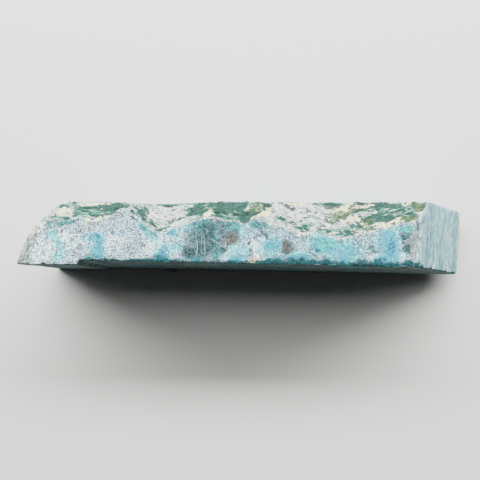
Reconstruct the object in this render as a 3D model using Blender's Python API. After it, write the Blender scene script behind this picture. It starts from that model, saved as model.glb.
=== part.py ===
"""Chrysocolla slab: a sawn offcut of copper-bearing rock, 121 mm long, that stands on one long edge.

Run it with blender --background --python part.py, or from Blender's text editor.
Sizes are in millimetres and angles in degrees. +X runs along the slab, +Y to its back and +Z up. The origin
is under the middle of the slab, on the surface that it stands on.

The rock starts as a rough lump with two natural skins: one slopes from the flat top to the back, and the
other is the broken left end. The saw then leaves five flat faces: top, front, back, right end and base.
"""

import math

import bmesh
import bpy
from mathutils import Matrix, Vector, noise

MM = 0.001

# The sawn faces.
HEIGHT = 40.0
HALF_THICKNESS = 8.0
FRONT_SLOPE = -0.0215       # the front is not quite parallel to the back
BACK_LEAN = 2.3             # the back leans outwards at its foot
BACK_HEIGHT = 31.5          # where the back is HALF_THICKNESS from the middle
END_TOP = 37.8              # the right end at the top of the slab
END_LEAN = 30.7
END_TURN = 5.2
HEEL_START = 44.0           # from here to the right the base is cut away, clear of the ground
HEEL_RISE = 18.0

# The front saw cut stopped short of the left end, where the rock snapped and stands proud as a lip.
LIP_END = -43.7
LIP_TOP = 1.2               # how far the lip stands proud of the sawn front, at the top and at the base
LIP_BASE = 0.55
NIB_PLACE = -24.6           # a small tongue of rock that the saw left at the foot of the front
NIB_SIZE = (6.0, 2.2, 4.5)

# Shallow chips on the sawn edges: (middle of the chip, way out of the rock, depth, half its length).
CHIPS = (
    ((37.4, -3.7, 40.0), (0.5, 0.0, 0.87), 0.7, 5.6),
    ((-11.0, -7.8, 40.0), (0.0, -0.7, 0.7), 0.3, 2.6),
    ((13.5, -8.3, 40.0), (0.0, -0.7, 0.7), 0.25, 2.0),
    ((60.3, 9.2, 5.4), (0.7, 0.6, -0.3), 0.8, 2.4),
    ((36.0, -8.8, 0.0), (0.0, -0.7, -0.7), 0.5, 4.2),
    ((-47.0, -7.5, 0.0), (0.0, -0.7, -0.7), 0.6, 3.4),
    ((24.0, 9.2, 0.0), (0.0, 0.7, -0.7), 0.7, 5.5),
    ((-18.0, 9.2, 0.0), (0.0, 0.7, -0.7), 0.5, 3.2),
    ((44.0, 9.2, 0.0), (0.1, 0.7, -0.7), 0.6, 3.0),
)

# Where the natural skin meets the flat top: (along the slab, towards the back).
RIM = (
    (-66.0, 1.5), (-52.0, 2.4), (-43.0, 3.1), (-39.6, 2.4), (-36.0, 3.7), (-33.0, 5.3), (-31.0, 4.9),
    (-29.0, 2.7), (-25.4, 0.2), (-23.0, -0.3), (-19.0, 1.4), (-15.8, 2.9), (-11.4, 3.3), (-9.5, 2.5),
    (-5.2, 2.4), (-3.5, 1.5), (-1.3, 3.4), (3.3, 1.6), (6.0, 1.1), (10.0, -1.3), (13.0, -0.4),
    (18.4, -2.2), (23.0, -0.8), (28.8, 0.1), (35.3, 2.1), (38.0, 3.0), (66.0, 6.0),
)
# How high the natural skin ends on the back face: (along the slab, height).
BACK_EDGE = (
    (-66.0, 33.0), (-52.0, 34.5), (-38.0, 35.0), (-32.0, 33.0), (-28.0, 30.5), (-22.0, 30.0),
    (-17.0, 32.0), (-13.0, 35.0), (2.0, 35.5), (12.0, 34.0), (24.0, 33.5), (36.0, 34.5), (66.0, 35.0),
)
# The brow of the broken left end, seen from above: (towards the back, along the slab).
BROW = (
    (-12.0, -61.0), (-8.0, -60.4), (-5.4, -59.9), (-3.4, -59.0), (-1.7, -58.1), (1.0, -56.8),
    (2.3, -55.2), (3.6, -53.5), (5.2, -52.2), (7.0, -50.0), (8.0, -47.5), (12.0, -41.0),
)
# How far the left end lies inside its brow: (height, distance).
LEFT_PROFILE = (
    (-4.0, 1.6), (0.0, 1.6), (6.0, 1.2), (13.0, 2.2), (20.0, 2.9), (27.0, 1.6), (31.0, 0.2),
    (33.5, 0.0), (36.0, 0.9), (38.0, 2.4), (40.0, 4.6), (44.0, 10.0),
)
SKIN_CELL = 0.85            # spacing of the points on both natural skins
BLOCK = 66.0                # half the side of the blocks that the skins are modelled on


def between(points, place):
    """The value at a place along a chain of (place, value) points, eased from each to the next."""
    for (start, low), (end, high) in zip(points, points[1:]):
        if place <= end:
            share = max(0.0, (place - start) / (end - start))
            return low + (high - low) * share * share * (3.0 - 2.0 * share)
    return points[-1][1]


def lumps(place, size, octaves=3):
    """Rolling relief between about -1 and 1, whose lumps are the given size across."""
    return noise.fractal(place / size, 0.9, 2.1, octaves)


def knobs(place, size):
    """Rounded knobs that meet in sharp creases, from 0 in a crease to 1 on a knob."""
    distances, _ = noise.voronoi(place / size)
    return 1.0 - min(1.0, distances[0] * 1.4)


def skin_height(x, y):
    """Height of the natural skin behind the flat top."""
    rim = between(RIM, x)
    fall = HEIGHT - between(BACK_EDGE, x)
    behind = (y - rim) / (HALF_THICKNESS - rim)
    if behind < 0.0:
        return HEIGHT - behind * 6.0
    place = Vector((x, y, 0.0))
    ledge = 0.55 * min(1.0, behind / 0.12)
    slope = (fall - 0.55) * behind ** 0.9
    relief = 1.15 * lumps(place, 9.0) + 0.8 * (knobs(place + Vector((31.0, 7.0, 0.0)), 3.4) - 0.5)
    return HEIGHT - ledge - slope + relief * min(1.0, behind * 3.0)


def left_break(y, z):
    """Distance of the broken left end along the slab."""
    place = Vector((y, z, 40.0))
    relief = 1.3 * lumps(place, 11.0) + 0.7 * (knobs(place, 4.2) - 0.5)
    fade = min(1.0, abs(z - 33.5) / 6.0)
    return between(BROW, y) + between(LEFT_PROFILE, z) + relief * (0.25 + 0.75 * fade)


def new_object(name, mesh, collection):
    made = bpy.data.objects.new(name, mesh)
    collection.objects.link(made)
    return made


def cutter(name, mesh, collection):
    made = new_object(name, mesh, collection)
    made.hide_render = True
    made.display_type = "WIRE"
    return made


def mesh_from(shape, name):
    """A mesh made from a bmesh whose points are in millimetres."""
    shape.transform(Matrix.Scale(MM, 4))
    bmesh.ops.recalc_face_normals(shape, faces=shape.faces)
    mesh = bpy.data.meshes.new(name)
    shape.to_mesh(mesh)
    shape.free()
    return mesh


def skin_block(name, width, depth, turned, deep):
    """A block with one finely divided side. turned places each (u, v) of that side, and deep is how far the
    block runs behind it."""
    shape = bmesh.new()
    bmesh.ops.create_grid(
        shape,
        x_segments=round(2 * width / SKIN_CELL),
        y_segments=round(2 * depth / SKIN_CELL),
        size=1.0,
    )
    for point in shape.verts:
        point.co = turned(point.co.x * width, point.co.y * depth)
    sides = bmesh.ops.extrude_face_region(shape, geom=shape.faces[:])
    backing = [part for part in sides["geom"] if isinstance(part, bmesh.types.BMVert)]
    for point in backing:
        axis = max(range(3), key=lambda i: abs(deep[i]))
        point.co[axis] = deep[axis]
    return mesh_from(shape, name)


def sawn_block():
    """The block that the saw cuts leave, without the natural skins."""
    shape = bmesh.new()
    bmesh.ops.create_cube(shape, size=2.0 * BLOCK)
    end_lean = math.radians(END_LEAN)
    end_turn = math.radians(END_TURN)
    back_lean = math.radians(BACK_LEAN)
    heel_rise = math.radians(HEEL_RISE)
    lip = Vector((FRONT_SLOPE, -1.0, (LIP_BASE - LIP_TOP) / HEIGHT))
    end = Vector((math.cos(end_turn) * math.cos(end_lean), -math.sin(end_turn), math.sin(end_lean)))
    cuts = (
        (Vector((0.0, 0.0, HEIGHT)), Vector((0.0, 0.0, 1.0))),
        (Vector((0.0, 0.0, 0.0)), Vector((0.0, 0.0, -1.0))),
        (Vector((0.0, -HALF_THICKNESS - LIP_BASE, 0.0)), lip.normalized()),
        (
            Vector((0.0, HALF_THICKNESS, BACK_HEIGHT)),
            Vector((0.0, math.cos(back_lean), math.sin(back_lean))),
        ),
        (Vector((END_TOP, -HALF_THICKNESS, HEIGHT)), end),
        (
            Vector((HEEL_START, 0.0, 0.0)),
            Vector((math.sin(heel_rise), 0.0, -math.cos(heel_rise))),
        ),
    )
    for point, outwards in cuts:
        cut = bmesh.ops.bisect_plane(
            shape,
            geom=shape.verts[:] + shape.edges[:] + shape.faces[:],
            plane_co=point,
            plane_no=outwards,
            clear_outer=True,
        )
        edges = [part for part in cut["geom_cut"] if isinstance(part, bmesh.types.BMEdge)]
        bmesh.ops.contextual_create(shape, geom=edges)
    return mesh_from(shape, "sawn_block")


def front_kerf():
    """What the front saw cut takes away, from the lip to beyond the right end."""
    shape = bmesh.new()
    bmesh.ops.create_cube(shape, size=1.0)
    length = BLOCK + 20.0 - LIP_END
    depth = 20.0
    height = HEIGHT + 20.0
    shape.transform(
        Matrix.Translation((LIP_END, -HALF_THICKNESS + FRONT_SLOPE * LIP_END, HEIGHT / 2.0))
        @ Matrix.Rotation(math.atan(FRONT_SLOPE), 4, "Z")
        @ Matrix.Translation((length / 2.0, -depth / 2.0, 0.0))
        @ Matrix.Diagonal((length, depth, height, 1.0))
    )
    return mesh_from(shape, "front_kerf")


def nib():
    """The tongue of rock at the foot of the front cut."""
    shape = bmesh.new()
    bmesh.ops.create_icosphere(shape, subdivisions=2, radius=0.5)
    for point in shape.verts:
        point.co *= 1.0 + 0.25 * lumps(point.co + Vector((5.0, 2.0, 9.0)), 0.6)
    centre = Vector((NIB_PLACE, -HALF_THICKNESS + FRONT_SLOPE * NIB_PLACE, 0.5 * NIB_SIZE[2] + 0.8))
    shape.transform(Matrix.Translation(centre) @ Matrix.Diagonal((*NIB_SIZE, 1.0)))
    return mesh_from(shape, "nib")


def chip(middle, outwards, depth, reach):
    """A ball that takes a shallow scoop, of this depth and half length, out of an edge."""
    radius = (reach * reach + depth * depth) / (2.0 * depth)
    centre = Vector(middle) + Vector(outwards).normalized() * (radius - depth)
    shape = bmesh.new()
    bmesh.ops.create_icosphere(shape, subdivisions=round(math.log2(radius)), radius=radius)
    for point in shape.verts:
        point.co *= 1.0 + 0.12 * depth / radius * lumps(point.co + centre, 1.5)
    shape.transform(Matrix.Translation(centre))
    return mesh_from(shape, "chip")


def stone_material():
    """Dull copper-blue rock."""
    made = bpy.data.materials.new("chrysocolla")
    made.use_nodes = True
    surface = made.node_tree.nodes["Principled BSDF"]
    surface.inputs["Base Color"].default_value = (0.22, 0.36, 0.38, 1.0)
    surface.inputs["Roughness"].default_value = 0.7
    surface.inputs["Metallic"].default_value = 0.0
    made.diffuse_color = (0.22, 0.36, 0.38, 1.0)
    return made


def clear_scene():
    for thing in list(bpy.data.objects):
        bpy.data.objects.remove(thing)


def main():
    clear_scene()
    parts = bpy.data.collections.new("chrysocolla specimen")
    cutters = bpy.data.collections.new("cutters")
    bpy.context.scene.collection.children.link(parts)
    bpy.context.scene.collection.children.link(cutters)

    rough = skin_block(
        "chrysocolla_slab",
        BLOCK,
        12.0,
        lambda along, back: Vector((along, back, skin_height(along, back))),
        Vector((0.0, 0.0, -10.0)),
    )
    stone = new_object("chrysocolla_slab", rough, parts)
    stone.data.materials.append(stone_material())

    left = skin_block(
        "left_break",
        12.5,
        25.0,
        lambda back, up: Vector((left_break(back, up + 20.0), back, up + 20.0)),
        Vector((BLOCK + 10.0, 0.0, 0.0)),
    )
    chips = bpy.data.collections.new("chips")
    cutters.children.link(chips)
    for placed in CHIPS:
        cutter("chip", chip(*placed), chips)
    steps = (
        ("INTERSECT", cutter("left_break", left, cutters)),
        ("INTERSECT", cutter("sawn_block", sawn_block(), cutters)),
        ("DIFFERENCE", cutter("front_kerf", front_kerf(), cutters)),
        ("UNION", cutter("nib", nib(), cutters)),
    )
    for operation, tool in steps:
        step = stone.modifiers.new(tool.name, "BOOLEAN")
        step.operation = operation
        step.object = tool
        step.solver = "EXACT"
    step = stone.modifiers.new("chips", "BOOLEAN")
    step.operation = "DIFFERENCE"
    step.operand_type = "COLLECTION"
    step.collection = chips
    step.solver = "EXACT"


main()
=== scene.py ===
import math

import bmesh
import bpy
import numpy as np
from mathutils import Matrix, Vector, noise


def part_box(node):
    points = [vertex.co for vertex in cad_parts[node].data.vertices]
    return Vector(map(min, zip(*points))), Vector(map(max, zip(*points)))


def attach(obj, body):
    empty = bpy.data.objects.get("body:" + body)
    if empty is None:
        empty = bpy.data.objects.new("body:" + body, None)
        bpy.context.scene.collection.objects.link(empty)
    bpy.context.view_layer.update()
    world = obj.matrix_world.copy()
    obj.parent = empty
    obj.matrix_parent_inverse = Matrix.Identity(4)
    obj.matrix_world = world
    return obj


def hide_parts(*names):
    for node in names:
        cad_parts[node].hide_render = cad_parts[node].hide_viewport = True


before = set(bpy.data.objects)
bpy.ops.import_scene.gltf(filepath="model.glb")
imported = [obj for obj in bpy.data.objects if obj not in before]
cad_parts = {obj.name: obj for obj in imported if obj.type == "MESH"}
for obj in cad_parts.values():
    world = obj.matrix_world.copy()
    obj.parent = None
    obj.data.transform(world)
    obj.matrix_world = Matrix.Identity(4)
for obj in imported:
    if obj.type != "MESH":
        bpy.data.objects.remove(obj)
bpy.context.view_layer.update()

# The camera looks almost straight down at the slab's top and leans a little towards its back, so that a
# sliver of the front and the whole sloping end show. Its place, lens and sensor are in millimetres.
MM = 0.001
EYE = (-4.7, -16.2, 200.0)
LEAN = math.radians(5.0)
LENS = 50.0
SENSOR = 36.0

camera_data = bpy.data.cameras.new("camera")
camera_data.lens = LENS
camera_data.sensor_width = SENSOR
camera = bpy.data.objects.new("camera", camera_data)
camera.location = Vector(EYE) * MM
camera.rotation_euler = (LEAN, 0.0, 0.0)
bpy.context.scene.collection.objects.link(camera)
bpy.context.scene.camera = camera

# The slab is one piece of grey host rock filled with chrysocolla. A saw left its top, front, back, right end
# and base flat and dull, with blue and teal pockets cut open. The skin along its back edge is as it grew, a
# glassy crust of green, cream and white, and its left end is broken.
STONE_NODE = "chrysocolla_slab"
GRID = 0.4                  # spacing of the fine surface
low, high = (np.array(corner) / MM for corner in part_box(STONE_NODE))

# The planes that the saw cut: a point on each, and the way that it faces.
SAW_PLANES = {
    "top": ((0.0, 0.0, high[2]), (0.0, 0.0, 1.0)),
    "base": ((0.0, 0.0, 0.0), (0.0, 0.0, -1.0)),
    "front": ((0.0, -8.0, 0.0), (-0.0215, -1.0, 0.0)),
    "lip": ((0.0, -8.55, 0.0), (-0.0215, -1.0, -0.0163)),
    "back": ((0.0, 8.0, 31.5), (0.0, 0.9992, 0.0401)),
    "end": ((37.8, -8.0, high[2]), (0.8563, -0.0906, 0.5105)),
    "heel": ((44.0, 0.0, 0.0), (0.309, 0.0, -0.951)),
}
LIP_END = -43.7             # left of here the front is the lip where the saw stopped short
NO_FACE = -9.0              # stands in for a plane's distance where it doesn't bound the stone
ON_FACE = 0.14              # a point this near a saw plane belongs to it
NEAR_FACE = 0.5             # the same for the colours of the end and the back, whose edges have crumbled

# Where the grown skin starts on the top, from left to right.
RIM = [
    (-66, 1.5), (-52, 2.4), (-43, 3.1), (-39.6, 2.4), (-36, 3.7), (-33, 5.3), (-31, 4.9), (-29, 2.7),
    (-25.4, 0.2), (-23, -0.3), (-19, 1.4), (-15.8, 2.9), (-11.4, 3.3), (-9.5, 2.5), (-5.2, 2.4),
    (-3.5, 1.5), (-1.3, 3.4), (3.3, 1.6), (6, 1.1), (10, -1.3), (13, -0.4), (18.4, -2.2), (23, -0.8),
    (28.8, 0.1), (35.3, 2.1), (38, 3), (66, 6),
]
RIM_STEPS = (-2.0, -1.0, 0.0, 1.0, 2.0)     # the skin's ridges follow the rim's mean over these steps
SKIN_OVERLAP = 2.5          # how far in front of its rim the skin may start
SKIN_FOOT = 27.0            # how low it may reach

# Where the broken left end starts on the top, from the front to the grown skin.
BROKEN = [(-57.5, -9.5), (-56.0, -5.8), (-54.6, -3.2), (-53.0, -1.0), (-51.8, 1.4), (-51.5, 3.0)]
LEFT_END = -42.0            # the break reaches no further right
SHOULDER = 34.0             # above this height the skin wraps over the break
FACING_LEFT, FACING_BACK = -0.3, 0.75       # below it, the break turns more to the left, less to the back
STEP_LEFT, STEP_BACK = -47.0, -5.0          # right of and in front of these is a step left by the saw

# The chip in the upper front corner of the right end.
CHIP_LEFT, CHIP_BACK, CHIP_FOOT, CHIP_DEPTH = 35.5, 0.5, 34.0, 2.0

# How far a dark teal rim reaches in from the front edge, along x.
FRONT_RIM = [
    (-66, 0.2), (-53, 0.3), (-50, 1.6), (-46, 2.2), (-44.5, 2.2), (-43, 0.6), (-37, 0.6), (-30, 0.5),
    (-27, 0.9), (-24.5, 1.8), (-21, 0.9), (-17, 0.9), (-13, 0.8), (-9, 0.5), (-6.5, 0.8), (-3.5, 0.9),
    (-1.3, 1.4), (1, 1.1), (3.5, 2.0), (5, 1.9), (8, 2.1), (12, 2.1), (14, 1.2), (18, 2.0), (21, 0.9),
    (23, 1.4), (27, 2.1), (28.5, 1.8), (32, 1.6), (34, 1.4), (35, 2.4), (38, 1.9), (41, 0.6), (66, 0.5),
]
FRONT_FADE = 0.8            # the share of that reach at which the teal is half gone
FRONT_WANDER, FRONT_WANDER_SIZE = 0.35, 2.0

# Pockets of mineral seen from above: middle x, y, half length, half width in mm, and turn in degrees.
POCKETS = {
    "haze": [
        (-52.7, -5.6, 2.4, 1.4, 30), (-55.2, -3.8, 1.5, 1, 50), (-47, -1.5, 1.2, 1, 0),
        (-44.6, -3.2, 1.9, 0.7, 20), (-24.2, -2.2, 2, 1.5, 40), (-25.4, -3.9, 2, 1.5, 30),
        (-52, -4.4, 2.6, 1.8, 20),
        (-7.3, -5.8, 2.9, 1.2, -20), (-4.4, -4.6, 1.9, 1.2, 0), (17, -1.1, 1.2, 0.7, 0),
        (33.7, -6.8, 1.7, 1, 0), (27.6, -6.6, 1.4, 0.7, 0), (37.3, -1.2, 0.5, 2.2, -8),
        (-35.4, -2.2, 1.9, 1.4, 0), (-0.6, -4.6, 1.4, 1.7, 0), (-26.8, 0.3, 3.4, 1.1, -40),
    ],
    "smoky": [
        (-14.4, -2.4, 2.5, 4.4, 0), (-17.2, -4.8, 1.4, 1.8, 0), (-9.6, -2.2, 3, 4, 0),
        (-11, 0.8, 4.6, 1.8, 0), (35.4, -2.8, 1.5, 2.2, 0), (7, -4.2, 1, 1, 0), (27, -4.4, 0.8, 0.6, 0),
    ],
    "pale": [
        (-26.8, 0.1, 3, 1, -40), (-50, -0.7, 1, 1.1, -50), (-48, -3.4, 1.7, 0.8, -60),
        (-48.6, -6.1, 1.2, 1, 40), (-41.7, 3, 1.2, 0.6, 0), (-17.1, 1.4, 1.4, 0.8, 10),
        (-4.2, 0, 1.4, 1.2, 0), (-4.9, -4.9, 1.9, 1.2, 0), (-26, -1.2, 1.7, 0.5, -42),
        (-20.2, -4.1, 1.2, 0.7, 30),
        (2.8, -3.9, 2.2, 1.7, 0), (21.2, -3.9, 1.7, 1.4, 0), (16.1, -4.6, 2.9, 1.2, -10),
        (-39.5, -4.9, 1.4, 1.2, 0), (30.9, -0.7, 1.4, 0.7, 0), (10, -6.1, 2.7, 0.7, 0),
    ],
    "cyan": [
        (-39.7, -1.7, 1.3, 0.7, 0), (-39, -3.2, 0.5, 1, 0), (-38.9, -4.9, 1, 1.2, -20),
        (3, -3.7, 1.6, 1.1, 0), (15.4, -3.7, 2.4, 1.2, -10), (20.4, -5.8, 2.2, 1.3, 20),
        (31.3, -3.9, 1.6, 2.7, 8), (30, -7, 1.6, 0.7, 0), (-21.3, -0.3, 1, 0.6, 0),
        (-22.9, -4.6, 0.9, 0.6, 40), (-5.4, -6.6, 1.4, 0.7, 0), (9.3, -6.4, 1.9, 0.6, 0),
    ],
    "blue": [
        (-23.6, -6.6, 1.1, 1.1, -10), (31.7, -3.9, 0.7, 1.6, 8), (13.9, -4.6, 0.7, 0.5, 0),
        (-39.1, -1.2, 0.4, 0.4, 0),
    ],
    "teal": [
        (-46, 2.3, 2.6, 0.6, 18), (-51.6, 1.5, 1.2, 0.7, 30), (-27.8, 0.8, 0.9, 0.5, -30),
        (-25.4, -0.6, 1.1, 0.4, -42), (-13.7, 1.4, 2.2, 1.6, -15), (-11.2, -0.9, 0.8, 1.8, 10),
        (-6.4, 1, 1.4, 1.2, 0), (-15.6, -6.6, 1.9, 0.7, 0), (-10.5, -4.6, 1.1, 1.6, 20),
        (-0.3, 1.6, 1.9, 0.6, -15), (9.7, -0.1, 1.7, 0.7, 0), (15.2, -1, 1, 0.5, -30),
        (-39.7, -6.3, 1.7, 0.4, 0),
    ],
    "turquoise": [
        (35.5, 0.5, 1.4, 0.7, 10), (17.3, -3.2, 2.2, 0.8, 0), (14.4, -4.4, 1, 0.7, 0),
    ],
    "dark": [
        (-12.8, -0.8, 1.5, 2, -15), (-14.6, -4.4, 2, 1.2, 10), (-12.6, -3.4, 1.6, 1.2, 0),
        (1.2, -1.2, 1.3, 0.4, -60), (-16.9, -5.3, 1.3, 1.1, 0), (-13.2, -1.4, 0.9, 1.2, 0),
        (-8.7, -4.4, 0.7, 0.9, 0), (34.6, -2.3, 0.6, 0.8, 0), (35.4, -4.1, 1, 1.2, 0),
        (10.3, -1.2, 1.1, 0.4, 0), (-2.3, -3.2, 0.3, 0.4, 0), (-2, -4.9, 0.4, 0.4, 0),
        (-1.6, -6.8, 0.4, 0.4, 0), (-42.5, -0.9, 0.3, 0.2, 40),
    ],
    "brown": [
        (-6.5, -1.9, 1.6, 0.9, 55), (6.6, -3.8, 0.8, 1.2, 0),
    ],
    "green": [
        (-47.6, 6.7, 1.6, 0.5, 18), (-45.4, 3.6, 2.2, 0.8, 15), (-50.6, 3.2, 1.6, 0.7, 35),
        (-41.1, 5, 4.2, 1.4, 5), (-29.4, 5.9, 1.8, 0.9, -20), (-38.3, 4.2, 2.8, 0.7, 15),
        (-23, 7.9, 1.8, 0.6, 0), (-23, 0.6, 1.2, 0.4, 10), (-29.2, 3.5, 1.6, 0.7, -45),
        (-27.2, 2.6, 1.6, 0.5, -40), (-25.8, 1.8, 1.6, 0.4, -35), (-10.2, 5.7, 6.5, 2.3, 0),
        (-6.4, 6.7, 3.4, 1.6, 0), (-1.8, 5.2, 2.8, 1.4, 0), (0.4, 5.7, 3, 1.3, 20),
        (-4.9, 3.9, 2.2, 0.7, 0), (11, 1.6, 1.9, 0.7, 20), (5.1, 3.1, 0.9, 0.4, 0),
        (20.1, 0.6, 2.4, 1, 0), (29.6, 3.1, 4.4, 1.2, 0), (26.5, 0.6, 1.1, 0.5, -20),
        (33.8, 6.2, 5.9, 1.2, 0), (15.2, -0.1, 1.6, 0.6, -15), (23.4, 0.9, 1.6, 0.6, 10),
        (17.2, -0.3, 1.7, 0.5, 25), (19.8, -0.9, 1.9, 0.5, 20), (15.8, -1, 1.2, 0.4, -30),
        (21.8, -0.2, 1.5, 0.5, -35),
    ],
    "deep": [
        (-36.3, 6.6, 2.8, 1.2, 0), (-34, 6.7, 1.5, 0.5, 0), (-3.4, 2.8, 1.4, 0.6, 10),
        (-29.4, 4.2, 1.6, 1, -30), (18.4, 7.1, 2.2, 0.7, 0), (27.9, 7.2, 5, 0.8, 0),
        (-7.7, 6.6, 3, 1, 0), (-15.4, 5.4, 1.5, 1, 0), (30.9, 3.3, 2.2, 0.7, 0),
    ],
    "olive": [
        (20.4, 4, 2.4, 0.8, 15), (25.7, 3, 1.6, 0.6, -50), (20.3, 4.9, 3, 0.5, 18),
        (23.9, 5.8, 2.2, 0.4, 5), (40.5, 6.5, 1.6, 1.2, 0),
        (36.3, 3.4, 2.1, 0.5, 0), (26.6, 2.3, 0.7, 1.2, -40),
    ],
    "cream": [
        (-41.1, 7.4, 2.4, 0.5, 5), (-48.5, 4.6, 1.6, 0.5, 20), (-39.8, 2.7, 2, 0.5, 25),
        (-12.8, 4.4, 1, 0.6, 35), (2.9, 5.9, 1.2, 0.6, 20), (1, 4.4, 2.3, 0.6, 20),
        (9.6, 7.3, 1.4, 0.5, 0), (21.2, 6.4, 2, 0.4, 20), (22.8, 3.2, 1.4, 0.3, 10),
        (24.3, 2.8, 1.4, 0.3, -55), (25.6, 6.5, 2.2, 0.35, 5), (31, 1.5, 3, 0.5, 22),
        (38.1, 7.6, 1.6, 0.3, 0), (-1.8, -7, 0.8, 0.6, 0), (40.7, 4, 1.2, 0.9, 0),
    ],
    "tan": [
        (-0.9, 5.9, 1.9, 0.6, 25), (20.6, 4.9, 2.4, 0.5, 18), (25.6, 1.8, 1.9, 0.5, -58),
        (31.7, 1, 2.4, 0.2, 22),
    ],
    "white": [
        (26.5, 5.6, 2.4, 0.6, 8), (31.5, 5.6, 2, 0.5, -5), (30.8, 4.2, 1.8, 0.35, 10),
        (-33.3, 5.1, 2.5, 0.5, 8), (-41.7, 3.7, 1.6, 0.3, 0), (-25.7, 4.7, 2.9, 0.7, -5),
        (-20.9, 2.9, 0.9, 0.7, 0), (-18.6, 3.6, 2.5, 0.3, -5), (-18.7, 6.8, 1.5, 1, 0),
        (-7.3, 5, 0.9, 0.2, 15), (3.6, 2.3, 3, 0.6, -15), (6.5, 5.1, 2.7, 1.7, 0),
        (8.7, 3.1, 2.5, 1.2, 0), (14.3, 5, 3.4, 0.5, 0), (18.1, 2.6, 3.2, 1.1, 0),
        (27.8, 5, 1.3, 0.5, -10), (30, 1.8, 1.3, 0.4, 0), (-52, 4.8, 1, 1.2, 55), (-50.2, 4.1, 1.8, 1.2, 40),
        (12.7, 6.7, 2.5, 0.9, 0), (21.8, 2.8, 1.7, 1, 0), (-47.4, 4.7, 1.2, 0.6, 10),
    ],
    "rough": [
        (-29.4, 5.9, 2.5, 1.8, 0), (-26.4, 3.7, 3.7, 2.2, 0), (-22.1, 5, 3, 2.3, 0),
        (8, 4.6, 5.4, 3.2, 0), (16.7, 2.6, 6.4, 2.7, 0), (-49.6, 5.4, 2.2, 1.2, 25),
        (-18.1, 6.5, 2.3, 1.5, 0), (21.4, 1.5, 2.4, 1.7, 0),
    ],
}
POCKET_DEPTH = 0.8          # how far a pocket goes down into the rock, in half lengths
SWELL = 1.3                 # a pocket's soft rim makes it this much bigger
PALE_SWELL = 1.9            # pale mineral surrounds the cyan and blue pockets, out to this
FAR = -3.0                  # the field well away from a pocket
WANDER, WANDER_SIZE = 0.7, 3.2              # how far, and over what length, the pockets' rims wander
GREY_FROM, GREY_OVER = -8.0, 14.0           # right of here, and over this length, the rock turns greyer

# Scratches that the saw left on the top: x and y of both ends.
SCRATCHES = [
    (-15.0, -2.7, -15.0, -5.1),
    (-13.3, -2.7, -13.1, -5.1),
    (-11.2, -2.2, -5.2, -6.1),
    (-8.2, -2.4, -8.1, -3.9),
    (-21.8, -3.9, -21.3, -6.3),
    (-30.8, -3.7, -29.5, -6.6),
    (26.0, -2.9, 29.0, -0.7),
    (9.1, -4.6, 11.3, -2.2),
    (10.8, -5.1, 13.2, -2.0),
    (8.1, -3.7, 10.1, -1.5),
    (2.8, -1.7, 5.0, 0.5),
    (5.0, -2.2, 7.2, 0.2),
    (33.0, -2.9, 36.5, -1.9),
    (33.2, -4.1, 36.5, -2.9),
]
NO_SCRATCH = 9.0            # stands in for the distance from a scratch where there are none

stone_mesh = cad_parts[STONE_NODE].data.copy()
shape = bmesh.new()
shape.from_mesh(stone_mesh)
bmesh.ops.remove_doubles(shape, verts=shape.verts, dist=1e-6)
shape.to_mesh(stone_mesh)
shape.free()
stone_mesh.materials.clear()
stone = bpy.data.objects.new("stone", stone_mesh)
bpy.context.scene.collection.objects.link(stone)

grid = stone.modifiers.new("even grid", "REMESH")
grid.mode = "VOXEL"
grid.voxel_size = GRID * MM
grid.use_smooth_shade = True
graph = bpy.context.evaluated_depsgraph_get()
fine_mesh = bpy.data.meshes.new_from_object(stone.evaluated_get(graph))
stone.modifiers.clear()
stone.data = fine_mesh
fine_mesh.name = "stone"

count = len(fine_mesh.vertices)
flat = np.empty(count * 3, np.float32)
fine_mesh.vertices.foreach_get("co", flat)
points = flat.reshape(-1, 3).astype(float) / MM
fine_mesh.vertices.foreach_get("normal", flat)
normals = flat.reshape(-1, 3).astype(float)
x, y, z = points.T


def beyond(name):
    """How far every point lies outside a saw plane."""
    place, outwards = SAW_PLANES[name]
    outwards = np.array(outwards) / np.linalg.norm(outwards)
    return (points - np.array(place)) @ outwards


def rolling(size, octaves, offset, where=points):
    """Noise at every point, about -1 to 1, with lumps of this size. The offset keeps two noises apart."""
    weaker, finer = 0.9, 2.1                # from one octave to the next
    return np.array([noise.fractal(Vector(p), weaker, finer, octaves) for p in where / size + offset])


outside = {name: beyond(name) for name in SAW_PLANES}
outside["front"] = np.where(x < LIP_END, NO_FACE, outside["front"])
outside["lip"] = np.where(x < LIP_END, outside["lip"], NO_FACE)
nearest = np.sort(np.stack(list(outside.values())), axis=0)
sawn = nearest[-1] > -ON_FACE
on_top = outside["top"] > -ON_FACE
on_base = outside["base"] > -ON_FACE
on_end = ~on_top & (outside["end"] > -NEAR_FACE)
on_back = outside["back"] > -NEAR_FACE
in_corner = (x > CHIP_LEFT) & (y < CHIP_BACK) & (z > CHIP_FOOT)
chipped = ~on_top & ~on_end & in_corner & (outside["end"] > -CHIP_DEPTH)
rim_y = np.interp(x, *np.array(RIM).T)
drift = sum(np.interp(x + step, *np.array(RIM).T) for step in RIM_STEPS) / len(RIM_STEPS)
grown = ~sawn & ~chipped & (y > rim_y - SKIN_OVERLAP) & (z > SKIN_FOOT) & (normals[:, 2] > 0.0)
facing_left = (normals[:, 0] < FACING_LEFT) & (normals[:, 1] < FACING_BACK) & (z < SHOULDER)
saw_step = (x > STEP_LEFT) & (y < STEP_BACK)
left_end = ~sawn & ~saw_step & (x < LEFT_END) & (~grown | facing_left)
skin = grown & ~left_end
upper = on_top | skin

# Nature draws no ellipses: each pocket is drawn on a slightly kneaded plane.
kneaded_x = x + WANDER * rolling(WANDER_SIZE, 3, 5.0)
kneaded_y = y + WANDER * rolling(WANDER_SIZE, 3, 41.0)


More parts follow.
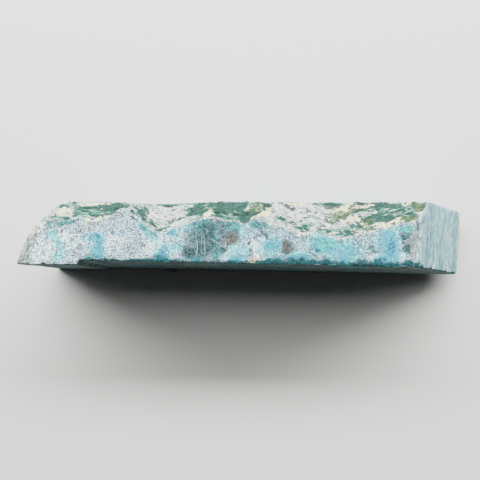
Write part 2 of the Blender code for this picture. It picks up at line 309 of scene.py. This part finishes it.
def pocket_field(spots, swell):
    """1 in the middle of a pocket, 0 at its rim and less outside."""
    field = np.full(count, FAR)
    for px, py, length, width, turn in spots:
        c, s = math.cos(math.radians(turn)), math.sin(math.radians(turn))
        along = ((kneaded_x - px) * c + (kneaded_y - py) * s) / (length * swell)
        across = ((kneaded_y - py) * c - (kneaded_x - px) * s) / (width * swell)
        down = np.where(upper, 0.0, (high[2] - z) / (POCKET_DEPTH * max(length, width)))
        field = np.maximum(field, 1.0 - along**2 - across**2 - down**2)
    return field


def line_field(lines, across_x, across_y):
    """The signed distance, in mm, from the nearest of these straight lines, plus to the left of a line."""
    field = np.full(count, np.inf)
    for x0, y0, x1, y1 in lines:
        length = math.hypot(x1 - x0, y1 - y0)
        ux, uy = (x1 - x0) / length, (y1 - y0) / length
        along = (across_x - x0) * ux + (across_y - y0) * uy
        across = (across_y - y0) * ux - (across_x - x0) * uy
        past = np.maximum(np.maximum(-along, along - length), 0.0)
        away = np.where(across < 0.0, -1.0, 1.0) * np.hypot(across, past)
        field = np.where(np.abs(away) < np.abs(field), away, field)
    return field


fields = {name: pocket_field(spots, SWELL) for name, spots in POCKETS.items()}
halo = pocket_field(POCKETS["cyan"] + POCKETS["blue"], PALE_SWELL)
fields["pale"] = np.maximum(fields["pale"], halo)
in_from_front = -outside["front"] + FRONT_WANDER * rolling(FRONT_WANDER_SIZE, 3, 71.0)
front_rim = 1.0 - in_from_front / (FRONT_FADE * np.interp(x, *np.array(FRONT_RIM).T))
fields["teal_rim"] = np.where((on_top | on_end) & (x > BROKEN[0][0]), front_rim, FAR)
fields["grey"] = np.clip((x - GREY_FROM) / GREY_OVER, 0.0, 1.0)
fields["drift"] = drift
fields["scratch"] = np.where(on_top, line_field(SCRATCHES, x, y), NO_SCRATCH)
fields["rim"] = line_field([(*a, *b) for a, b in zip(RIM, RIM[1:])], kneaded_x, kneaded_y)
broken_x = np.interp(kneaded_y, *np.array(BROKEN).T[::-1])
fields["broken"] = np.minimum(broken_x - kneaded_x, rim_y - kneaded_y)
fields["broken"] = np.where(left_end, -FAR, np.where(upper, fields["broken"], FAR))
# The broken end below the skin is drawn in a darker copy of the broken look: painted shade.
fields.update(top=on_top, upper=upper, end=on_end, back=on_back, chipped=chipped, flank=left_end)

# Minerals on the sides that the pockets do not reach follow soft clouds through the rock. The clouds' size,
# the noise's offset, how dense a cloud has to be, and how much denser the clouds are on the back.
CLOUDS = {
    "cyan": (9.0, 11.0, 0.75, 0.4),
    "blue": (7.0, 23.0, 0.85, 0.35),
    "teal": (8.0, 37.0, 0.6, 0.2),
    "dark": (6.0, 51.0, 0.45, 0.1),
    "pale": (11.0, 67.0, 0.75, 0.4),
}
CLOUD_EDGE = 3.0            # how sharply a cloud ends
side = ~upper & ~left_end & ~on_end & ~chipped
for name, (size, offset, dense, more_on_back) in CLOUDS.items():
    cloud = rolling(size, 3, offset) + np.where(on_back, more_on_back, 0.0)
    fields[name] = np.where(side, np.maximum(fields[name], CLOUD_EDGE * (cloud - dense)), fields[name])

# The relief: soft lumps, ridges and grit on the natural skin, and crumbled edges along the saw cuts. Each
# form has how far it moves the surface, and the size of its lumps.
LUMP, LUMP_SIZE = 0.3, 2.4
GRIT, GRIT_SIZE = 0.16, 0.9
DRUSE_GRIT, DRUSE_REACH = 0.4, 0.4          # more grit on the rough druse, out to this far past its pockets
RIDGE, RIDGE_SIZE = 0.55, 2.0
RIDGE_TOP, RIDGE_SLOPE = 0.45, 1.8          # a ridge is sharp along its top
RIDGE_WAY = np.array((0.4, 1.0, 0.8))       # the ridges run along the slab and bend with the skin's rim
CRUMBLE, CRUMB_SIZE, CRUMB_SHARE = 0.45, 1.6, 0.1
EDGE_REACH = 0.9            # how far from an edge the rock has crumbled
lumpy = rolling(LUMP_SIZE, 4, 3.0)
bent = points.copy()
bent[:, 1] -= drift
ridged = RIDGE_TOP - np.abs(rolling(RIDGE_SIZE, 3, 53.0, bent * RIDGE_WAY)) * RIDGE_SLOPE
gritty = rolling(GRIT_SIZE, 2, 17.0)
crumbly = np.clip(rolling(CRUMB_SIZE, 3, 29.0) + CRUMB_SHARE, 0.0, 1.0)
edge = np.clip(1.0 + nearest[-2] / EDGE_REACH, 0.0, 1.0)
druse = np.clip(fields["rough"] + DRUSE_REACH, 0.0, 1.0)
move = np.where(sawn, 0.0, LUMP * lumpy + (GRIT + DRUSE_GRIT * druse) * gritty)
move += np.where(skin, RIDGE * ridged, 0.0)
move -= np.where(sawn, CRUMBLE * edge * crumbly, 0.0)
move[on_base] = 0.0
shaped = np.clip(points + normals * move[:, None], low, high)
fine_mesh.vertices.foreach_set("co", (shaped * MM).astype(np.float32).ravel())
fine_mesh.update()
for name, values in fields.items():
    made = fine_mesh.attributes.new(name, "FLOAT", "POINT")
    made.data.foreach_set("value", np.asarray(values, np.float32))


def linear(code):
    """The linear colour of an sRGB hex code, with full alpha."""
    parts = [int(code[i : i + 2], 16) / 255.0 for i in (1, 3, 5)]
    return (*[c / 12.92 if c <= 0.04045 else ((c + 0.055) / 1.055) ** 2.4 for c in parts], 1.0)


def add(kind, options, inputs, output=0):
    """Adds a node with its options and gives one output. An input is a number, a hex colour or an output."""
    node = tree.nodes.new(kind)
    for name, value in options.items():
        setattr(node, name, value)
    for key, value in inputs.items():
        if isinstance(value, bpy.types.NodeSocket):
            tree.links.new(value, node.inputs[key])
        else:
            node.inputs[key].default_value = linear(value) if isinstance(value, str) else value
    return node.outputs[output]


# Chrysocolla in grey rock, sawn and left rough: dull and sugary where the saw went, glassy on the grown skin.
# In a Map Range, sockets 1 and 2 are the range taken in, and 3 and 4 the range given. In a Mix of colours,
# socket 0 is how much of 7 lies over 6, and the colour comes out of 2.
rock = bpy.data.materials.new("chrysocolla_in_rock_rough_sawn")
rock.use_nodes = True
tree = rock.node_tree
shader = tree.nodes["Principled BSDF"]
FIELD, RAMP, MATH, MIX = "ShaderNodeAttribute", "ShaderNodeMapRange", "ShaderNodeMath", "ShaderNodeMix"
VECTOR, JOIN, RGBA = "ShaderNodeVectorMath", "ShaderNodeCombineXYZ", {"data_type": "RGBA"}
MUL_ADD, SCALED, LESS = ({"operation": name} for name in ("MULTIPLY_ADD", "MULTIPLY", "SUBTRACT"))
DOT, ABSOLUTE = ({"operation": name} for name in ("DOT_PRODUCT", "ABSOLUTE"))

# The ways that the patterns run: evenly, along the skin's rim, along the slab, down the sloping end, and up
# across the broken end.
place = add("ShaderNodeTexCoord", {}, {}, "Object")
in_mm = add(VECTOR, {"operation": "SCALE"}, {0: place, "Scale": 1.0 / MM})
drifted = add(JOIN, {}, {1: add(FIELD, {"attribute_name": "drift"}, {}, "Fac")})
flowing = add(VECTOR, SCALED, {0: add(VECTOR, LESS, {0: in_mm, 1: drifted}), 1: (0.3, 1.0, 0.8)})
long_way = add(VECTOR, SCALED, {0: in_mm, 1: (0.07, 1.0, 0.9)})
down_end = add(VECTOR, DOT, {0: in_mm, 1: (0.0, -0.1, 1.0)}, "Value")
across_end = add(VECTOR, DOT, {0: in_mm, 1: (0.0, 0.16, 0.05)}, "Value")
end_way = add(JOIN, {}, {0: down_end, 1: across_end})
up_left = add(VECTOR, DOT, {0: in_mm, 1: (-0.8, 0.6, 0.3)}, "Value")
along_left = add(VECTOR, DOT, {0: in_mm, 1: (0.18, 0.24, 0.3)}, "Value")
left_way = add(JOIN, {}, {0: up_left, 1: along_left})

# The rock's real grain is about 0.1 to 0.3 mm. That is too fine to show in a view of the whole slab, so it is
# drawn coarser, as a grain of 0.36 mm, a sugar of 0.75 mm and crumbs of 1.6 mm.
NOISES = {
    # which way it runs, size in mm, detail, roughness, twist
    "grain": (in_mm, 0.36, 1.0, 0.5, 0.0),
    "sugar": (in_mm, 0.75, 2.0, 0.6, 0.3),
    "crumb": (in_mm, 1.6, 5.0, 0.65, 0.5),
    "cloud": (in_mm, 5.0, 5.0, 0.6, 0.8),
    "vein": (in_mm, 4.0, 3.0, 0.5, 1.0),
    "flow": (flowing, 1.6, 6.0, 0.65, 1.4),
    "wisp": (flowing, 1.1, 3.0, 0.65, 0.8),
    "long streak": (long_way, 2.6, 4.0, 0.65, 0.3),
    "end streak": (end_way, 2.2, 3.0, 0.6, 0.2),
    "end hue": (end_way, 6.0, 3.0, 0.6, 0.2),
    "left streak": (left_way, 1.6, 3.0, 0.6, 0.5),
}
noise_of = {}
for name, (way, size, detail, roughness, twist) in NOISES.items():
    sizes = {"Scale": 1.0 / size, "Detail": detail, "Roughness": roughness, "Distortion": twist}
    noise_of[name] = add("ShaderNodeTexNoise", {}, {"Vector": way, **sizes})

# How light each grain is. Three sizes of grain are mixed: the range of each one's noise, and its share.
SIZES = {"grain": (0.41, 0.59, 0.48), "sugar": (0.4, 0.6, 0.32), "crumb": (0.36, 0.64, 0.2)}
DARKEST, LIGHTEST, MORE_DARK = 0.22, 0.78, 1.8
spread, shade = {}, 0.0
for name, (least, most, share) in SIZES.items():
    spread[name] = add(RAMP, {}, {0: noise_of[name], 1: least, 2: most})
    shade = add(MATH, MUL_ADD, {0: spread[name], 1: share, 2: shade})
shade = add(RAMP, {}, {0: shade, 1: DARKEST, 2: LIGHTEST})
shade = add(MATH, {"operation": "POWER"}, {0: shade, 1: MORE_DARK})

# How ragged a pocket's rim is on the sawn rock and on the skin, evenly above and below 0: which noise, how
# much of it, and how many flecks of grain lie along it.
RAGS = {"rock": ("crumb", 5.0, 1.0), "skin": ("wisp", 8.0, 0.3)}
GRAIN_FLECK, SUGAR_FLECK = 0.5, 0.7
fleck = add(MATH, MUL_ADD, {0: spread["grain"], 1: GRAIN_FLECK, 2: -(GRAIN_FLECK + SUGAR_FLECK) / 2.0})
fleck = add(MATH, MUL_ADD, {0: spread["sugar"], 1: SUGAR_FLECK, 2: fleck})
ragged = {}
for name, (source, much, flecks) in RAGS.items():
    wave = add(MATH, MUL_ADD, {0: noise_of[source], 1: much, 2: -much / 2.0})
    ragged[name] = add(MATH, MUL_ADD, {0: fleck, 1: flecks, 2: wave})

# Where each look lies: how much rag the rim of its pockets has, which rag, and how soft the rim is.
PLACES = {
    "grey": (0.6, "rock", 1.0), "smoky": (0.7, "rock", 0.9), "haze": (0.9, "rock", 0.8),
    "pale": (1.0, "rock", 0.8), "cyan": (0.8, "rock", 0.45), "blue": (0.7, "rock", 0.45),
    "teal_rim": (0.6, "rock", 0.4), "teal": (0.9, "rock", 0.6), "turquoise": (0.7, "rock", 0.5),
    "dark": (0.8, "rock", 0.6), "brown": (0.7, "rock", 0.7), "green": (0.6, "skin", 0.7),
    "deep": (1.0, "skin", 0.4), "olive": (1.0, "skin", 0.4), "tan": (0.9, "skin", 0.3),
    "cream": (0.9, "skin", 0.3), "white": (0.7, "skin", 0.6), "rough": (0.8, "skin", 0.8),
    "rim": (0.3, "rock", 0.12), "broken": (0.6, "rock", 0.5),
}
place_of = {}
for name, (much, kind, soft) in PLACES.items():
    field = add(FIELD, {"attribute_name": name}, {}, "Fac")
    field = add(MATH, MUL_ADD, {0: ragged[kind], 1: much, 2: field})
    place_of[name] = add(RAMP, {"interpolation_type": "SMOOTHSTEP"}, {0: field, 1: -soft, 2: soft})
for name in ("top", "upper", "end", "back", "chipped", "flank"):
    place_of[name] = add(FIELD, {"attribute_name": name}, {}, "Fac")
place_of["crust"] = add(MATH, SCALED, {0: place_of["rim"], 1: place_of["upper"]})

# Each look in its darker and its lighter grains.
GRAINS = {
    "dull": ("#3A454E", "#EEF4F6"),
    "grey": ("#455259", "#90C2D0"),
    "smoky": ("#242F33", "#4E7078"),
    "haze": ("#4C909A", "#F6F6F6"),
    "pale": ("#2B6C7A", "#62E8EC"),
    "cyan": ("#12687A", "#12A4B8"),
    "blue": ("#103E50", "#1688A6"),
    "teal_rim": ("#0E2226", "#124C50"),
    "teal": ("#1C3C40", "#2E8C8E"),
    "turquoise": ("#127274", "#16BAB2"),
    "dark": ("#1A2729", "#365A5C"),
    "brown": ("#302E2C", "#555753"),
    "deep": ("#15312A", "#245046"),
    "olive": ("#283625", "#4D6844"),
    "tan": ("#2E4630", "#7C9468"),
    "cream": ("#9CA078", "#F3F3C8"),
    "white": ("#576961", "#F3F3F3"),
    "broken": ("#5E7267", "#FAFAFA"),
    # A darker copy of the broken look for the broken end below the skin: painted shade.
    "flank": ("#46584F", "#B4C6BC"),
    "side": ("#435555", "#647872"),
    "chipped": ("#5C6666", "#96A8A6"),
    "speck": ("#7C8A86", "#FFFFFF"),
}
look = {}
for name, (dark, light) in GRAINS.items():
    look[name] = add(MIX, RGBA, {0: shade, 6: dark, 7: light}, 2)

# Looks made of bands along a noise: the skin, jade green on one side and a white druse on the other, and the
# streaks that the saw left across the sloping end and along the back.
TURNS = {"rough": 0.08, "white": 0.07, "green": -0.155}     # how far a pocket turns the skin to one side
turn = noise_of["flow"]
for name, much in TURNS.items():
    turn = add(MATH, MUL_ADD, {0: place_of[name], 1: much, 2: turn})
SAWN = [
    (0.3, "#2A5460"), (0.39, "#8EDCDE"), (0.45, "#3E7884"), (0.51, "#DCFFFC"), (0.56, "#3E6C78"),
    (0.62, "#A2ECEA"), (0.7, "#346E7A"),
]
BANDS = {
    "crust": (turn, [
        (0.27, "#12241E"), (0.34, "#125241"), (0.4, "#0E3E35"), (0.445, "#185A4C"), (0.475, "#287E6A"),
        (0.49, "#1C2A24"), (0.505, "#F3F3E0"), (0.53, "#F3F3F3"), (0.55, "#6E9488"), (0.57, "#2A3C34"),
        (0.585, "#F3F3F3"), (0.61, "#F3F3F3"), (0.63, "#5E9080"), (0.645, "#265248"), (0.66, "#F3F3F3"),
        (0.69, "#F3F3F3"), (0.705, "#98BCAE"), (0.72, "#2C3A34"), (0.735, "#F3F3F3"), (0.765, "#F3F3F3"),
        (0.785, "#47544C"), (0.8, "#F3F3F3"), (0.83, "#F3F3F3"), (0.845, "#6E9488"), (0.86, "#F3F3F3"),
    ]),
    "end": (noise_of["end streak"], SAWN),
    "back": (noise_of["long streak"], SAWN),
}
for name, (value, stops) in BANDS.items():
    look[name] = add("ShaderNodeValToRGB", {}, {0: value})
    elements = look[name].node.color_ramp.elements
    while len(elements) < len(stops):
        elements.new(1.0)
    for element, (where, code) in zip(elements, stops):
        element.position, element.color = where, linear(code)

# Light wisps on the skin, dark seams that are partly real and partly painted shade in its crevices, dark
# specks that are painted shade in the druse's pits, blues on the end, streaks on the front, cracks in the
# broken end and
# a tint in the dull rock: which noise, where it starts, where it is full, and how strong it is.
FADES = {
    "wisps": ("wisp", 0.555, 0.6, 0.8),
    "crevice_shade_seams": ("wisp", 0.455, 0.425, 0.9),
    "pit_shade_specks": ("crumb", 0.43, 0.38, 0.85),
    "blues": ("end hue", 0.45, 0.6, 0.6),
    "streaks": ("long streak", 0.4, 0.6, 0.6),
    "cracks": ("left streak", 0.45, 0.35, 0.9),
    "tint": ("cloud", 0.46, 0.62, 0.45),
}
fade = {}
for name, (source, start, full, strong) in FADES.items():
    fade[name] = add(RAMP, {}, {0: noise_of[source], 1: start, 2: full, 3: 0.0, 4: strong})
# The dark specks lie only on the rough druse: painted shade in its pits.
fade["pit_shade_specks"] = add(MATH, SCALED, {0: fade["pit_shade_specks"], 1: place_of["rough"]})
for name, kind, share, over in (
    ("crust", "MIX", fade["pit_shade_specks"], "#3E4E44"),
    ("crust", "MIX", fade["wisps"], "#6EA090"),
    # Dark seams on the skin, partly painted shade in its crevices.
    ("crust", "MIX", fade["crevice_shade_seams"], "#1A362E"),
    ("crust", "MULTIPLY", 0.25, look["speck"]),
    ("end", "MIX", fade["blues"], "#3C748B"),
    ("end", "MULTIPLY", 0.4, look["speck"]),
    ("back", "MULTIPLY", 0.6, look["speck"]),
    ("side", "MIX", fade["streaks"], "#334446"),
    ("broken", "MIX", fade["cracks"], "#3E4E46"),
    # Its cracks are darker too: painted shade on the broken end below the skin.
    ("flank", "MIX", fade["cracks"], "#34443C"),
    ("dull", "MIX", fade["tint"], look["pale"]),
):
    look[name] = add(MIX, {**RGBA, "blend_type": kind}, {0: share, 6: look[name], 7: over}, 2)

# Thin pale lines: veins in the sawn rock, the saw's scratches, and the skin's rim. Each has a value that is 0
# along the line, where the line fades out, where it is full, how strong it is, where it lies, and its look.
SCRATCH_RAG, RIM_RAG = 0.1, 0.2
off_vein = add(MATH, LESS, {0: noise_of["vein"], 1: 0.5})
off_scratch = add(FIELD, {"attribute_name": "scratch"}, {}, "Fac")
off_scratch = add(MATH, MUL_ADD, {0: ragged["rock"], 1: SCRATCH_RAG, 2: off_scratch})
off_rim = add(FIELD, {"attribute_name": "rim"}, {}, "Fac")
off_rim = add(MATH, MUL_ADD, {0: ragged["rock"], 1: RIM_RAG, 2: off_rim})
for name, off, out, full, strong, where, over in (
    ("vein", off_vein, 0.012, 0.003, 0.15, place_of["top"], "#D4ECF0"),
    ("scratch", off_scratch, 0.12, 0.02, 0.34, 1.0, "#D4ECF0"),
    ("rim line", off_rim, 0.26, 0.05, 0.8, place_of["upper"], look["white"]),
):
    line = add(RAMP, {}, {0: add(MATH, ABSOLUTE, {0: off}), 1: out, 2: full, 3: 0.0, 4: strong})
    place_of[name] = add(MATH, SCALED, {0: line, 1: where})
    look[name] = over

# Layer upon layer: what lies underneath, then each mineral over it, and the broken end's darker copy, which
# is painted shade.
colour = add(MIX, RGBA, {0: place_of["grey"], 6: look["dull"], 7: look["grey"]}, 2)
colour = add(MIX, RGBA, {0: place_of["top"], 6: look["side"], 7: colour}, 2)
for name in (
    "back", "smoky", "haze", "pale", "teal", "dark", "brown", "cyan", "turquoise", "blue", "vein", "scratch",
    "crust", "deep", "olive", "tan", "cream", "rim line", "broken", "flank", "end", "teal_rim", "chipped",
):
    colour = add(MIX, RGBA, {0: place_of[name], 6: colour, 7: look[name]}, 2)
tree.links.new(colour, shader.inputs["Base Color"])

# Dull where the saw went, glassy on the skin. So rough and grainy a face throws back little sheen.
SHEEN, ROUGH_SAWN, ROUGH_SKIN = 0.2, 0.82, 0.5
SUGAR_STRENGTH, SUGAR_HEIGHT = 0.5, 0.1
WISP_SAWN, WISP_SKIN, WISP_HEIGHT = 0.1, 0.9, 0.7
shader.inputs["Specular IOR Level"].default_value = SHEEN
dullness = add(RAMP, {}, {0: place_of["crust"], 3: ROUGH_SAWN, 4: ROUGH_SKIN})
tree.links.new(dullness, shader.inputs["Roughness"])
sugary = {"Strength": SUGAR_STRENGTH, "Distance": SUGAR_HEIGHT * MM, "Height": noise_of["sugar"]}
wispy = {"Distance": WISP_HEIGHT * MM, "Height": noise_of["wisp"]}
wispy["Strength"] = add(RAMP, {}, {0: place_of["crust"], 3: WISP_SAWN, 4: WISP_SKIN})
wispy["Normal"] = add("ShaderNodeBump", {}, sugary)
tree.links.new(add("ShaderNodeBump", {}, wispy), shader.inputs["Normal"])
fine_mesh.materials.clear()
fine_mesh.materials.append(rock)

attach(stone, "root")
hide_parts(STONE_NODE)

# The floor is a plain pale board that the slab stands on. Its matt paint spreads the light evenly and has no
# shine.
FLOOR_REACH = 3.0           # metres from the middle to each side
PAINT_ROUGHNESS = 0.9
shape = bmesh.new()
bmesh.ops.create_grid(shape, x_segments=1, y_segments=1, size=FLOOR_REACH)
floor_mesh = bpy.data.meshes.new("floor")
shape.to_mesh(floor_mesh)
shape.free()
floor = bpy.data.objects.new("floor", floor_mesh)
bpy.context.scene.collection.objects.link(floor)
paint = bpy.data.materials.new("matt_pale_paint")
paint.use_nodes = True
paint_surface = paint.node_tree.nodes["Principled BSDF"]
paint_surface.inputs["Base Color"].default_value = linear("#C8C8C5")
paint_surface.inputs["Roughness"].default_value = PAINT_ROUGHNESS
floor_mesh.materials.append(paint)

# Two soft lamps behind the slab, a strong low one and a weak high one, and a faint even fill. Each lamp's
# angle above the floor in degrees, its distance, width and height in metres, and its power in watts.
LAMPS = {
    "low lamp": (48.5, 0.45, 1.25, 0.11, 15.8),
    "high lamp": (66.0, 0.45, 1.0, 0.28, 3.0),
}
FILL = 0.052
for name, (above, away, wide, tall, power) in LAMPS.items():
    lamp_data = bpy.data.lights.new(name, "AREA")
    lamp_data.shape = "RECTANGLE"
    lamp_data.size = wide
    lamp_data.size_y = tall
    lamp_data.energy = power
    lamp = bpy.data.objects.new(name, lamp_data)
    angle = math.radians(above)
    lamp.location = (0.0, away * math.cos(angle), away * math.sin(angle))
    lamp.rotation_euler = (angle - math.pi / 2.0, 0.0, 0.0)
    bpy.context.scene.collection.objects.link(lamp)

world = bpy.data.worlds.new("studio")
world.use_nodes = True
world.node_tree.nodes["Background"].inputs["Color"].default_value = linear("#FFFFFF")
world.node_tree.nodes["Background"].inputs["Strength"].default_value = FILL
bpy.context.scene.world = world
